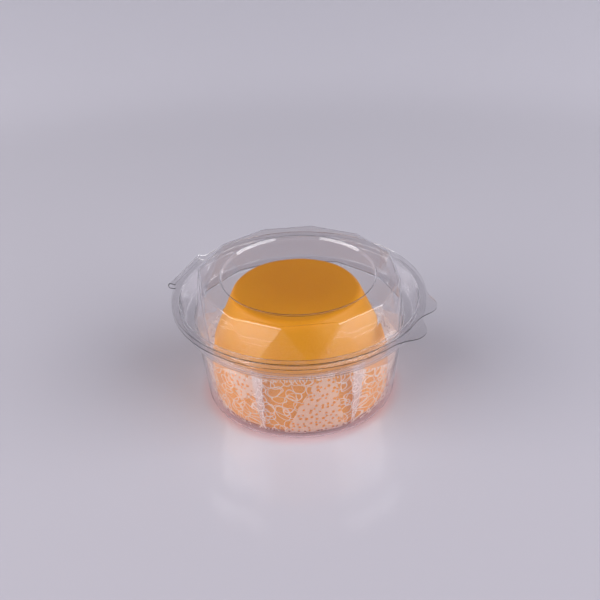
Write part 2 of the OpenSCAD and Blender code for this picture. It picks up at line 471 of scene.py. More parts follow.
def flange_rings(start_r, edge, z):
    """Radii and heights of the flange's rings, from its root out to the outline."""
    return [(start_r + (edge - start_r) * share, z) for share in FLANGE_SHARES]


base_path = bent(
    [
        (0, FLOOR_PANEL_Z),
        (FLOOR_PANEL_R, FLOOR_PANEL_Z),
        (FLOOR_PANEL_R + FLOOR_PANEL_Z - HALF, HALF),
        (BOWL_FOOT_R, HALF),
        (BOWL_TOP_R, LEDGE_Z),
        (LEDGE_R, LEDGE_Z),
        (MOUTH_R, BASE_FLANGE_Z),
        (FLANGE_R, BASE_FLANGE_Z),
    ],
    [0, PANEL_BEND_R, PANEL_BEND_R, FOOT_BEND_R, BEND_R, BEND_R, BEND_R, 0],
)
base_path = stretched(base_path, LONGEST)
flange_start = MOUTH_R + BEND_R
base_rings = [(np.full(COUNT, r), z) for r, z in base_path if 0 < r < flange_start]
base_rings += flange_rings(flange_start, BASE_EDGE, BASE_FLANGE_Z)
base_points = [(0, 0, FLOOR_PANEL_Z)]
for radius, z in base_rings:
    base_points += list(zip(radius * np.cos(RAYS), radius * np.sin(RAYS), np.full(COUNT, z)))
base_sheet = mesh_object("base_sheet", base_points, ring_faces(len(base_rings), COUNT))
cover(base_sheet, base_clear)
thicken(base_sheet, SHEET)
print("base:", len(base_rings), "rings,", len(base_sheet.data.polygons), "faces")

# %% [markdown]
# ## The lid's gem cut
# The lid has twelve corners on its shoulder and twelve more at its foot, turned by half a step, so
# its wall is a band of triangles that point up and down in turn. At any height, the wall's outline
# is the inner one of two star-like outlines: one made by the triangles that stand on their points,
# and one by those that hang from them. A Geometry Nodes tree works that out for every point from
# its turn and its share of the height, and rounds the creases a little, as warm sheet does. Near
# the top panel and the channel the rings ease back into circles.

# %% Tree that cuts the facets
CREASE = 0.2


def facet_tree():
    """Geometry Nodes tree that moves each point of the lid to its place."""
    tree = bpy.data.node_groups.new("gem cut", "GeometryNodeTree")
    tree.interface.new_socket("Rings", in_out="INPUT", socket_type="NodeSocketGeometry")
    number_inputs(tree, {
        "Corners": 12.0,
        "Foot radius": FACET_FOOT_R * MM,
        "Shoulder radius": SHOULDER_R * MM,
        "Crease": CREASE * MM,
    })
    tree.interface.new_socket("Sheet", in_out="OUTPUT", socket_type="NodeSocketGeometry")
    given = tree.nodes.new("NodeGroupInput").outputs
    turn = read(tree, "turn")
    half_step = calculate(tree, "DIVIDE", math.pi, given["Corners"])
    to_foot_corner = calculate(tree, "PINGPONG", turn, half_step)
    to_shoulder_corner = calculate(tree, "SUBTRACT", half_step, to_foot_corner)
    shrink = calculate(tree, "COSINE", half_step)
    share = read(tree, "height_share")
    foot_flat = calculate(tree, "MULTIPLY", given["Foot radius"], shrink)
    shoulder_flat = calculate(tree, "MULTIPLY", given["Shoulder radius"], shrink)
    standing = mixed(tree, share, given["Foot radius"], shoulder_flat)
    hanging = mixed(tree, share, foot_flat, given["Shoulder radius"])
    cut = calculate(
        tree,
        "SMOOTH_MIN",
        calculate(tree, "DIVIDE", standing, calculate(tree, "COSINE", to_foot_corner)),
        calculate(tree, "DIVIDE", hanging, calculate(tree, "COSINE", to_shoulder_corner)),
        given["Crease"],
    )
    radius = calculate(
        tree,
        "ADD",
        mixed(tree, read(tree, "gem_share"), read(tree, "round_radius"), cut),
        read(tree, "spread"),
    )
    place = node(tree, "ShaderNodeCombineXYZ", {
        "X": calculate(tree, "MULTIPLY", radius, calculate(tree, "COSINE", turn)),
        "Y": calculate(tree, "MULTIPLY", radius, calculate(tree, "SINE", turn)),
        "Z": read(tree, "level"),
    })
    moved = node(tree, "GeometryNodeSetPosition", {
        "Geometry": given["Rings"],
        "Position": place.outputs[0],
    })
    painted = node(tree, "GeometryNodeSetMaterial", {"Geometry": moved.outputs[0]})
    painted.inputs["Material"].default_value = lid_clear
    result = node(tree, "NodeGroupOutput")
    tree.links.new(painted.outputs[0], result.inputs[0])
    return tree


# %% [markdown]
# ## The lid's rings
# Each ring has a height, the radius that it would have as a circle, how far it follows the gem's
# outline, how far up the facets it is, and how far it spreads beyond them in a bend.

# %% Lid
SHOULDER_BEND = 1.2
SHOULDER_RINGS = 6
SHOULDER_ARC_RINGS = 9
SHOULDER_ARC_STEP = 11
FACET_LEVELS = 16
FOOT_BEND = 0.7
FOOT_ARC_RINGS = 7
FOOT_ARC_STEP = 15
CHANNEL_RINGS = 3
CHANNEL_LEAD_IN = 2
CHANNEL_LONGEST = 1.5
RIM_R = TOP_PANEL_R + 1.2
TOP_STEP = math.tan(math.radians(30)) * (LID_TOP_Z - TOP_PANEL_Z)


def ring(z, round_r, gem=0.0, up=0.0, spread=0.0):
    """One ring of the lid, with the five values that the text above names."""
    return {"z": z, "round_r": round_r, "gem": gem, "up": up, "spread": spread}


lid_rings = [
    ring(z, r)
    for r, z in stretched(bent(
        [
            (0, TOP_PANEL_Z),
            (TOP_PANEL_R - TOP_STEP, TOP_PANEL_Z),
            (TOP_PANEL_R, LID_TOP_Z),
            (RIM_R, LID_TOP_Z),
        ],
        [0, PANEL_BEND_R, PANEL_BEND_R, 0],
    ), LONGEST)[1:]
]
for k in range(1, SHOULDER_RINGS):
    inset = -SHOULDER_BEND * k / SHOULDER_RINGS
    lid_rings.append(ring(LID_TOP_Z, RIM_R, k / SHOULDER_RINGS, 1, inset))
for k in range(SHOULDER_ARC_RINGS):
    lift = math.radians(90 - SHOULDER_ARC_STEP * k)
    z = LID_TOP_Z - SHOULDER_BEND * (1 - math.sin(lift))
    lid_rings.append(ring(z, TOP_PANEL_R, 1, 1, SHOULDER_BEND * (math.cos(lift) - 1)))
facet_top = LID_TOP_Z - SHOULDER_BEND
facet_bottom = CHANNEL_Z + FOOT_BEND
for k in range(1, FACET_LEVELS):
    share = 1 - k / FACET_LEVELS
    lid_rings.append(ring(facet_bottom + (facet_top - facet_bottom) * share, TOP_PANEL_R, 1, share))
channel_start = CHANNEL_R - BEND_R
for k in range(FOOT_ARC_RINGS):
    lift = math.radians(FOOT_ARC_STEP * k)
    z = facet_bottom - FOOT_BEND * math.sin(lift)
    lid_rings.append(ring(z, channel_start, 1, 0, FOOT_BEND * (1 - math.cos(lift))))
for k in range(1, CHANNEL_RINGS + 1):
    share = 1 - k / CHANNEL_RINGS
    lid_rings.append(ring(CHANNEL_Z, channel_start, share, 0, FOOT_BEND * share))
channel = stretched(bent(
    [
        (CHANNEL_R - CHANNEL_LEAD_IN, CHANNEL_Z),
        (CHANNEL_R, CHANNEL_Z),
        (LID_MOUTH_R, LID_FLANGE_Z),
        (FLANGE_R, LID_FLANGE_Z),
    ],
    [0, BEND_R, BEND_R, 0],
), CHANNEL_LONGEST)
lid_flange_start = LID_MOUTH_R + BEND_R
lid_rings += [ring(z, r) for r, z in channel if channel_start < r < lid_flange_start]
lid_rings += [ring(z, r) for r, z in flange_rings(lid_flange_start, LID_EDGE, LID_FLANGE_Z)]
lid_points = [(0, 0, TOP_PANEL_Z)]
lid_points += [(math.cos(t), math.sin(t), 0) for _ in lid_rings for t in RAYS]
lid_sheet = mesh_object("lid_sheet", lid_points, ring_faces(len(lid_rings), COUNT))

# %% Numbers on the lid's points, and the cut
def number_points(obj, name, values):
    """Writes a named number on each point."""
    numbers = obj.data.attributes.new(name, "FLOAT", "POINT").data
    numbers.foreach_set("value", np.array(values, np.float32))


# Each number's value on the first point, and then on each ring, as one value or one per ray
lid_numbers = {
    "turn": (0, [RAYS] * len(lid_rings)),
    "level": (TOP_PANEL_Z * MM, [r["z"] * MM for r in lid_rings]),
    "round_radius": (0, [np.asarray(r["round_r"]) * MM for r in lid_rings]),
    "gem_share": (0, [r["gem"] for r in lid_rings]),
    "height_share": (1, [r["up"] for r in lid_rings]),
    "spread": (0, [r["spread"] * MM for r in lid_rings]),
}
for name, (first, per_ring) in lid_numbers.items():
    rings = [np.broadcast_to(v, COUNT) for v in per_ring]
    number_points(lid_sheet, name, np.concatenate([[first], *rings]))
gem_cut = facet_tree()
cutter = lid_sheet.modifiers.new("gem cut", "NODES")
cutter.node_group = gem_cut
cutter[input_id(gem_cut, "Crease")] = CREASE * MM
apply_modifiers(lid_sheet)
for name in lid_numbers:
    lid_sheet.data.attributes.remove(lid_sheet.data.attributes[name])
thicken(lid_sheet, SHEET)
print("lid:", len(lid_rings), "rings,", len(lid_sheet.data.polygons), "faces")

# %% [markdown]
# ## The living hinge
# Between the two straight lands the sheet bends through half a turn. This web is the only part of
# the pack that bends in use, so it is its own piece: its lower edge follows the base, its upper
# edge the lid.

# %% Hinge web
FOLD_R = (LID_FLANGE_Z - BASE_FLANGE_Z) / 2
WEB_STEPS = 14
WEB_COLUMNS = 12
web_points = []
for k in range(WEB_STEPS + 1):
    lift = math.pi * (k / WEB_STEPS - 0.5)
    for c in range(WEB_COLUMNS + 1):
        web_points.append((
            FOLD_HALF_W * (2 * c / WEB_COLUMNS - 1),
            FOLD_Y + FOLD_R * math.cos(lift),
            FOLD_Z + FOLD_R * math.sin(lift),
        ))
row = WEB_COLUMNS + 1
web_faces = [
    (k * row + c, k * row + c + 1, (k + 1) * row + c + 1, (k + 1) * row + c)
    for k in range(WEB_STEPS)
    for c in range(WEB_COLUMNS)
]
hinge_web = mesh_object("hinge_web", web_points, web_faces)
cover(hinge_web, base_clear)
thicken(hinge_web, SHEET)
print("web:", len(hinge_web.data.polygons), "faces")

# %% [markdown]
# ## The cake
# A soft sponge with a golden skin: a wide belly low down, and a side that runs in from there to a
# flat top with a small round edge. It leans a little, and slow waves make it uneven, as nothing
# baked is quite round.

# %% Cake
CAKE_FOOT_Z = 1.75
CAKE_TOP_Z = 54.4
CAKE_FOOT_R = 42.5
CAKE_TOP_R = 30.0
CAKE_EDGE_BEND = 3
CAKE_SIDE_BEND = 30
CAKE_LEAN = 1.1
CAKE_LEAN_TURN = math.radians(114)
CAKE_COUNT = 144
CAKE_RAYS = [math.tau * k / CAKE_COUNT for k in range(CAKE_COUNT)]
cake_path = stretched(bent(
    [
        (0, CAKE_FOOT_Z),
        (CAKE_FOOT_R, CAKE_FOOT_Z),
        (43.6, 16.5),
        (40.8, 29.6),
        (CAKE_TOP_R, CAKE_TOP_Z),
        (0, CAKE_TOP_Z),
    ],
    [0, CAKE_EDGE_BEND, CAKE_SIDE_BEND, CAKE_SIDE_BEND, CAKE_EDGE_BEND, 0],
), 1.5)[1:-1]
# Height of each slow wave, waves round the cake, its start, and its climb per millimetre up
CAKE_WAVES = [(0.2, 2, 0.6, 0.05), (0.13, 5, 1.9, -0.11), (0.07, 9, 0, 0.21)]
CAKE_INSET = 0.25
CALM_R = 15


def uneven(turn, z):
    """Slow waves on the cake's side, in millimetres."""
    waves = [size * math.sin(n * turn + start + z * climb) for size, n, start, climb in CAKE_WAVES]
    return sum(waves) - CAKE_INSET


def cake_point(r, turn, z):
    """A point of the cake's skin, with its waves and its lean."""
    wavy = r + uneven(turn, z) * min(1, r / CALM_R)
    lean = CAKE_LEAN * z / CAKE_TOP_Z
    return (
        wavy * math.cos(turn) + lean * math.cos(CAKE_LEAN_TURN),
        wavy * math.sin(turn) + lean * math.sin(CAKE_LEAN_TURN),
        z,
    )


cake_points = [(0, 0, CAKE_FOOT_Z)]
cake_points += [cake_point(r, turn, z) for r, z in cake_path for turn in CAKE_RAYS]
cake_faces = ring_faces(len(cake_path), CAKE_COUNT)
top_point = len(cake_points)
cake_points.append(cake_point(0, 0, CAKE_TOP_Z))
last_ring = top_point - CAKE_COUNT
cake_faces += [
    (last_ring + (k + 1) % CAKE_COUNT, last_ring + k, top_point) for k in range(CAKE_COUNT)
]
# Rings that go up and back in make faces that look inwards, so each is turned round
cake = mesh_object("golden_cake", cake_points, [face[::-1] for face in cake_faces])
print("cake:", len(cake.data.polygons), "faces")

# %% [markdown]
# ## Cake skin
# The skin is golden on top and brownest at a spot a little behind the top's middle, on the side
# away from the camera. From there the brown fades with the distance. The side is a clearer
# orange-yellow, and it is lighter low down, below about 24 mm, with a blend up to 34 mm. Two noises
# mottle it, and a fine one gives the skin its small pores. Light goes a little way into the crumb,
# so it has some subsurface scattering. The skin shines only softly.

# %% Cake material
SIDE_COLOURS = ((0.63, 0.235, 0.003, 1), (0.69, 0.285, 0.006, 1))
LOW_COLOURS = ((0.75, 0.282, 0.004, 1), (0.81, 0.33, 0.007, 1))
TOP_COLOURS = ((0.70, 0.26, 0.003, 1), (0.79, 0.305, 0.005, 1))
BROWN_COLOURS = ((0.60, 0.205, 0.003, 1), (0.73, 0.275, 0.005, 1))
# Where the side turns into its low part, and into the top, in millimetres up
LOW_FROM, LOW_TO = 34, 24
TOP_FROM, TOP_TO = 50, 54.5
# How far the brownest spot lies behind the top's middle, away from the camera, and how far from it
# the brown fades
BROWNEST = 8
BROWN_FADE_FROM, BROWN_FADE_TO = 8, 38


def cake_skin():
    """Material of the cake's golden skin."""
    material, tree = new_material("golden_cake_skin")
    place = node(tree, "ShaderNodeTexCoord").outputs["Object"]
    height = node(tree, "ShaderNodeSeparateXYZ", {0: place}).outputs["Z"]
    spot = (BEHIND[0] * BROWNEST * MM, BEHIND[1] * BROWNEST * MM, CAKE_TOP_Z * MM)
    reach = measure(tree, "DISTANCE", place, spot)
    brown_share = ramp(tree, reach, BROWN_FADE_FROM * MM, BROWN_FADE_TO * MM, 1.0, 0.0, "SMOOTHSTEP")
    patches = noise(tree, place, 70.0, 3.0)
    clouds = noise(tree, place, 24.0, 2.0)
    pores = noise(tree, place, 900.0, 2.0)
    low = ramp(tree, height, LOW_FROM * MM, LOW_TO * MM)
    high = ramp(tree, height, TOP_FROM * MM, TOP_TO * MM)
    side = blended(
        tree, low, blended(tree, patches, *SIDE_COLOURS), blended(tree, patches, *LOW_COLOURS)
    )
    colour = blended(
        tree, brown_share,
        blended(tree, high, side, blended(tree, patches, *TOP_COLOURS)),
        blended(tree, clouds, *BROWN_COLOURS),
    )
    normal = bump(tree, pores, 0.35, 0.0003)
    skin = shade(tree, "ShaderNodeBsdfPrincipled", {
        "Base Color": colour,
        "Roughness": 0.5,
        "Specular IOR Level": 0.25,
        "Subsurface Weight": 0.15,
        "Subsurface Scale": 0.004,
        "Subsurface Radius": (1.0, 0.5, 0.15),
        "Normal": normal,
    })
    show(tree, skin)
    return material


cover(cake, cake_skin())
print("cake skin:", len(cake.data.materials[0].node_tree.nodes), "nodes")

# %% [markdown]
# ## The film's way round the cake
# The wrap starts as a flat disc of film under the cake, so it is far too long for the cake's side,
# and the spare length is laid in flat tucks. We walk once round the cake, and start inside the
# first tuck, so that the print's seam lies hidden there. At each tuck the film turns back and
# forward again, each time one layer further out or in, in a small half round fold, so three layers
# lie on each other. A tuck's edge shows at its turn, and its layers lie to the left of it or to the
# right.

# %% Tucks of the film
# Turn of each tuck's edge, width of its fold at the top, and the side to which it lies
TUCKS = [
    (36, 11, 1), (76, 12, -1), (181.5, 7.5, -1), (234.5, 8.5, 1), (285, 9, -1), (345, 9, 1),
    (380, 11, -1),
]
TOP_LAYER = 2
# Degrees in which the film comes down from a tuck's top layer, and its longest free step
EASE = 12.0
FREE_STEP = 2.5
LEG_STEPS = 4
FOLD_STEPS = 4


def tuck_stations(edge, width, side):
    """Stops on the film's way through one tuck.

    Each holds the edge's turn, the turn away from it, and the layers out and the bulge, in layers.
    """
    low, high = (0, width) if side > 0 else (-width, 0)
    layers = range(TOP_LAYER + 1)[::side]
    legs = ((low, high, 1), (high, low, -1), (low, high, 1))
    found = []
    for (start, end, way), layer in zip(legs, layers):
        found += [
            (edge, start + (end - start) * k / LEG_STEPS, layer, 0) for k in range(LEG_STEPS + 1)
        ]
        if layer == layers[-1]:
            return found
        for k in range(1, FOLD_STEPS):
            lift = math.pi * k / FOLD_STEPS
            out = layer + side * (1 - math.cos(lift)) / 2
            found.append((edge, end, out, way * math.sin(lift) / 2))


def eased(x):
    """A smooth step from 0 to 1."""
    x = min(1, max(0, x))
    return x * x * (3 - 2 * x)


def free_stations(start, end, before, after):
    """Stops between two tucks, from one height of layers down to none and up to the other."""
    found = []
    steps = max(2, math.ceil((end - start) / FREE_STEP))
    for k in range(1, steps):
        turn = start + (end - start) * k / steps
        leaving = before * eased(1 - (turn - start) / EASE)
        coming = after * eased(1 - (end - turn) / EASE)
        found.append((turn, 0, leaving + coming, 0))
    return found


stations = []
for i, (edge, width, side) in enumerate(TUCKS):
    next_edge, next_width, next_side = TUCKS[(i + 1) % len(TUCKS)]
    next_edge += 360 if i == len(TUCKS) - 1 else 0
    stations += tuck_stations(edge, width, side)
    stations += free_stations(
        edge + (width if side > 0 else 0),
        next_edge - (next_width if next_side < 0 else 0),
        TOP_LAYER if side > 0 else 0,
        TOP_LAYER if next_side < 0 else 0,
    )
hidden_start = LEG_STEPS + FOLD_STEPS + 2
stations = stations[hidden_start:] + [(s[0] + 360, *s[1:]) for s in stations[:hidden_start]]
print("film stations:", len(stations))

# %% [markdown]
# ## The film's side
# From the disc under the cake the film turns up in a small bend and stands round the cake. It ends
# in an uneven edge, which is higher at the sides, where the film opens outwards and its upper part
# has no print. A tuck is narrow at its foot and wide at its top. Each point also gets its place on
# the print: how far along the film, how far up from its foot, and how far below the print's edge,
# in millimetres. Two more numbers say how near it is to the film's foot, and how far up in a tuck.

# %% Profile and edges of the film
FILM = 0.05
FILM_REF_R = 44.5
FILM_BOTTOM_Z = 1.58
film_profile = stretched(bent(
    [(0, FILM_BOTTOM_Z), (43.5, FILM_BOTTOM_Z), (FILM_REF_R, 9), (45.2, 20), (45.7, 41)],
    [0, 3, 25, 25, 0],
), 0.25)
profile_r = np.array([p[0] for p in film_profile])
profile_z = np.array([p[1] for p in film_profile])
profile_v = np.concatenate([[0], np.cumsum(np.hypot(np.diff(profile_r), np.diff(profile_z)))])
# Height of the film's top edge at turns round the cake
FILM_EDGE = [
    (0, 26.5), (60, 27), (80, 28), (90, 30.5), (100, 34.5), (110, 39), (116, 40.3), (146, 40),
    (160, 37.5), (178, 36), (196, 36), (222, 37), (238, 37.5), (250, 39.5), (262, 40.3),
    (285, 40.3), (296, 37), (306, 33), (318, 30), (330, 27),
]
# Height where the print on it ends
PRINT_EDGE = [
    (0, 26.5), (42, 27.5), (80, 26), (104, 26.5), (128, 26.5), (146, 30), (160, 32.5), (178, 33),
    (196, 35), (222, 36), (238, 34.5), (250, 30.5), (264, 27), (290, 25.5), (330, 26.5),
]
# How far the film opens at its top: not in front, where it lies against the cake
FLARE = [
    (0, 1.2), (60, 1.4), (100, 2.7), (145, 2.7), (168, 0), (236, 0), (256, 2.7), (300, 2.7),
    (340, 1.2),
]
FLARE_START_Z = 8
# Height and count of the waves in an edge
EDGE_WAVES = [(0.35, 9), (0.2, 23)]


def round_the_cake(table, turn):
    """A table's value at a turn."""
    turns = [t for t, _ in table] + [table[0][0] + 360]
    return float(np.interp(turn % 360, turns, [v for _, v in table] + [table[0][1]]))


def edge_place(table, turn):
    """How far up the profile the film's or the print's uneven edge is at a turn."""
    waves = sum(size * math.sin(math.radians(n * turn)) for size, n in EDGE_WAVES)
    return float(np.interp(round_the_cake(table, turn) + waves, profile_z, profile_v))


# %% A point of the film
FILM_LAYER = 0.16
FILM_BOTTOM_LAYER = 0.09
TUCK_FOOT_SHARE = 0.2
RIPPLE = 0.16
LOOK_AHEAD = 0.2


def film_point(station, v, side_share):
    """A station's point at a place up the profile, and at a share of the film's side."""
    edge, away, layers, bulge = station
    r, ahead_r = np.interp((v, v + LOOK_AHEAD), profile_v, profile_r)
    z, ahead_z = np.interp((v, v + LOOK_AHEAD), profile_v, profile_z)
    normal = Vector((ahead_z - z, r - ahead_r)).normalized()
    layer = FILM_BOTTOM_LAYER + (FILM_LAYER - FILM_BOTTOM_LAYER) * eased(side_share * 4)
    ripple = RIPPLE * side_share * (
        math.sin(math.radians(11 * (edge + away))) + math.sin(math.radians(17 * edge + 40 + 3 * z))
    )
    opened = max(0, z - FLARE_START_Z) / (profile_z[-1] - FLARE_START_Z)
    flare = round_the_cake(FLARE, edge + away) * opened
    out = layer * layers + (ripple if away == 0 else 0) + flare
    r, z = r + normal.x * out, z + normal.y * out
    spread = TUCK_FOOT_SHARE + (1 - TUCK_FOOT_SHARE) * side_share
    turn = math.radians(edge + away * spread) + bulge * layer / r
    return (r * math.cos(turn), r * math.sin(turn), z)


# %% Film
SIDE_START_V = 39.0
BOTTOM_LEVELS = [6, 14, 22, 30, 36, SIDE_START_V - 0.01]
SIDE_LEVELS = 30
FOOT_BAND = 7.0
# The disc's print lies apart from the side's, and far below the print's edge
DISC_SHIFT = 200
FAR_BELOW = 99
walked = [0.0]
for (e0, a0, l0, b0), (e1, a1, l1, b1) in zip(stations, stations[1:]):
    along = math.radians(e1 + a1 - e0 - a0) * FILM_REF_R + (b1 - b0) * FILM_LAYER
    walked.append(walked[-1] + math.hypot(along, (l1 - l0) * FILM_LAYER))
film_points = [(0, 0, FILM_BOTTOM_Z)]
film_print = [(0, 0, FAR_BELOW)]
film_foot = [1.0]
film_tucked = [0.0]
for v in BOTTOM_LEVELS:
    for station in stations:
        point = film_point(station, v, 0)
        film_points.append(point)
        film_print.append((point[0] - DISC_SHIFT, point[1], FAR_BELOW))
        film_foot.append(1.0)
        film_tucked.append(0.0)
for level in range(SIDE_LEVELS + 1):
    share = level / SIDE_LEVELS
    for station, u in zip(stations, walked):
        edge, away = station[:2]
        v = SIDE_START_V + (edge_place(FILM_EDGE, edge + away) - SIDE_START_V) * share
        film_points.append(film_point(station, v, share))
        film_print.append((u, v - SIDE_START_V, edge_place(PRINT_EDGE, edge + away) - v))
        film_foot.append(1 - eased((v - SIDE_START_V) / FOOT_BAND))
        film_tucked.append(eased(1.5 * share) if away != 0 else 0.0)
levels = len(BOTTOM_LEVELS) + SIDE_LEVELS + 1
film_wrap = mesh_object("lace_film", film_points, ring_faces(levels, len(stations)))
places = film_wrap.data.attributes.new("print_place", "FLOAT_VECTOR", "POINT").data
places.foreach_set("vector", np.array(film_print, np.float32).ravel())
number_points(film_wrap, "foot_share", film_foot)
number_points(film_wrap, "tucked", film_tucked)

# %% [markdown]
# ## Lace print
# The film carries a common white lace print: scribbled loops, and fans of net with round holes,
# which open downwards and upwards in turn. A node group draws it on the flat film in millimetres,
# from the print_place attribute, so it folds with the film. Each layer of loops is a turned grid
# that holds one oval in each square, placed, sized and turned by chance. Five such layers lie over
# each other, as thread does. The net is a Voronoi texture with a hole in each cell. Fine strokes
# run down from the print's edge, and in the tucks, where layer lies on layer, more of them crowd
# together.

# %% Loops
# Square's side and turn of each layer's grid
LOOP_LAYERS = [(10.3, 0.3), (11.6, 1.1), (9.8, 2.0), (12.6, 2.7), (10.9, 3.6)]
LOOP_LINE = 0.22
LOOP_LENGTH = 1.6
# Least value and spread by chance of an oval's middle and size, in squares, and of its turn
LOOP_MIDDLE, LOOP_MIDDLE_SPREAD = 0.36, 0.28
LOOP_SIZE, LOOP_SIZE_SPREAD = 0.29, 0.1
LOOP_TURN, LOOP_TURN_SPREAD = -1.2, 1.9


def loop_layer(tree, place, cell, twist):
    """Mask of one layer of ovals."""
    squares = node(tree, "ShaderNodeMapping", {
        "Vector": place,
        "Location": (37 * twist, 11 * cell, 0),
        "Rotation": (0, 0, twist),
        "Scale": (1 / cell, 1 / cell, 0),
    }).outputs[0]
    corner = vector(tree, "FLOOR", squares)
    white = node(tree, "ShaderNodeTexWhiteNoise", {"Vector": corner}, noise_dimensions="2D")
    chance = white.outputs["Color"]
    split = node(tree, "ShaderNodeSeparateColor", {0: chance}).outputs
    spread = (LOOP_MIDDLE_SPREAD, LOOP_MIDDLE_SPREAD, 0.0)
    middle = vector(tree, "MULTIPLY_ADD", chance, spread, (LOOP_MIDDLE, LOOP_MIDDLE, 0.0))
    inside = vector(tree, "SUBTRACT", squares, corner)
    turned = node(tree, "ShaderNodeVectorRotate", {
        "Vector": vector(tree, "SUBTRACT", inside, middle),
        "Angle": calculate(tree, "MULTIPLY_ADD", split[2], LOOP_TURN_SPREAD, twist + LOOP_TURN),
    }, rotation_type="Z_AXIS").outputs[0]
    reach = measure(tree, "LENGTH", vector(tree, "MULTIPLY", turned, (1.0, LOOP_LENGTH, 0.0)))
    size = calculate(tree, "MULTIPLY_ADD", split[0], LOOP_SIZE_SPREAD, LOOP_SIZE)
    off_line = calculate(tree, "ABSOLUTE", calculate(tree, "SUBTRACT", reach, size))
    return calculate(tree, "LESS_THAN", off_line, LOOP_LINE / cell)


# %% Net and its fans
HOLE_SIZE, HOLE_SIZE_SPREAD = 0.19, 0.12
# A fan's top, how its measures grow on the way down, its half width at the top and how it leans
FAN_TOP_Y = 37
FAN_GROWTH = 0.04
FAN_HALF_W, FAN_SPREAD = 4.3, 8.0
FAN_LEAN = 4.1
# The fan between two of them opens upwards
NEXT_HALF_W, NEXT_SPREAD = 11.0, -14.0


def net_mask(tree, place, pitch):
    """Mask of the net: ink around holes of uneven size."""
    holes = node(tree, "ShaderNodeTexVoronoi", {
        "Vector": place, "Scale": calculate(tree, "DIVIDE", 1.0, pitch), "Randomness": 0.75,
    }, voronoi_dimensions="2D", feature="F1").outputs
    chance = node(tree, "ShaderNodeSeparateColor", {0: holes["Color"]}).outputs[0]
    size = calculate(tree, "MULTIPLY_ADD", chance, HOLE_SIZE_SPREAD, HOLE_SIZE)
    return calculate(tree, "GREATER_THAN", holes["Distance"], size)


def fan_mask(tree, place, middle, pitch):
    """Mask of the fans that the net fills."""
    split = node(tree, "ShaderNodeSeparateXYZ", {0: place}).outputs
    down = calculate(tree, "MULTIPLY_ADD", split["Y"], -FAN_GROWTH, FAN_TOP_Y * FAN_GROWTH)
    from_fan = calculate(tree, "SUBTRACT", split["X"], middle)
    leaned = calculate(tree, "MULTIPLY_ADD", down, FAN_LEAN, from_fan)
    off_fan = calculate(tree, "PINGPONG", leaned, pitch)
    off_next = calculate(tree, "SUBTRACT", pitch, off_fan)
    half = calculate(tree, "MULTIPLY_ADD", down, FAN_SPREAD, FAN_HALF_W)
    next_half = calculate(tree, "MULTIPLY_ADD", down, NEXT_SPREAD, NEXT_HALF_W)
    in_fan = calculate(tree, "LESS_THAN", off_fan, half)
    return calculate(tree, "MAXIMUM", in_fan, calculate(tree, "LESS_THAN", off_next, next_half))


# %% Lace print group
LOOP_INK = 0.64
NET_INK = 0.38
# Ink above the print's edge
EDGE_HAZE = 0.1
WOBBLE = 3.0
# How strong the combed noise is where a stroke of the fringe starts, and a stroke in a tuck
FRINGE_FROM = 0.56
CROWD_FROM = 0.47
FRINGE_DEPTH, FRINGE_SPREAD = 0.6, 3.0


def lace_print():
    """Group that puts out how strong the ink is on the flat film."""
    tree = bpy.data.node_groups.new("lace print", "ShaderNodeTree")
    tree.interface.new_socket("Place", in_out="INPUT", socket_type="NodeSocketVector")
    number_inputs(tree, {"Tucked": 0.0, "Fan middle": 0.0, "Fan pitch": 50.0, "Hole pitch": 2.6})
    tree.interface.new_socket("Ink", in_out="OUTPUT", socket_type="NodeSocketFloat")
    given = tree.nodes.new("NodeGroupInput").outputs
    place = given["Place"]
    wobble = node(tree, "ShaderNodeTexNoise", {"Vector": place, "Scale": 0.14, "Detail": 1.0})
    centred = vector(tree, "SUBTRACT", wobble.outputs["Color"], (0.5, 0.5, 0.5))
    shaken = vector(tree, "MULTIPLY_ADD", centred, (WOBBLE, WOBBLE, 0.0), place)
    loops = 0.0
    for cell, twist in LOOP_LAYERS:
        loops = calculate(tree, "MAXIMUM", loop_layer(tree, shaken, cell, twist), loops)
    net = net_mask(tree, place, given["Hole pitch"])
    fans = fan_mask(tree, shaken, given["Fan middle"], given["Fan pitch"])
    loops = calculate(tree, "MULTIPLY", loops, LOOP_INK)
    ink = mixed(tree, fans, loops, calculate(tree, "MULTIPLY", net, NET_INK))
    combed = node(tree, "ShaderNodeMapping", {"Vector": place, "Scale": (1.7, 0.25, 0)}).outputs[0]
    strokes = noise(tree, combed, 1.0, 1.0)
    mottle = noise(tree, place, 0.16, 0.0)
    below_edge = node(tree, "ShaderNodeSeparateXYZ", {0: place}).outputs["Z"]
    depth = calculate(tree, "MULTIPLY_ADD", mottle, FRINGE_SPREAD, FRINGE_DEPTH)
    fringe = calculate(
        tree, "MULTIPLY",
        calculate(tree, "GREATER_THAN", strokes, FRINGE_FROM),
        calculate(tree, "LESS_THAN", below_edge, depth),
    )
    ink = calculate(tree, "MAXIMUM", ink, calculate(tree, "MULTIPLY", fringe, LOOP_INK))
    crowd = calculate(tree, "GREATER_THAN", strokes, CROWD_FROM)
    crowded = calculate(tree, "MULTIPLY", given["Tucked"], crowd)
    ink = calculate(tree, "MAXIMUM", ink, calculate(tree, "MULTIPLY", crowded, NET_INK))
    ink = mixed(tree, calculate(tree, "GREATER_THAN", below_edge, 0.0), EDGE_HAZE, ink)
    result = node(tree, "NodeGroupOutput")
    tree.links.new(ink, result.inputs["Ink"])
    return tree
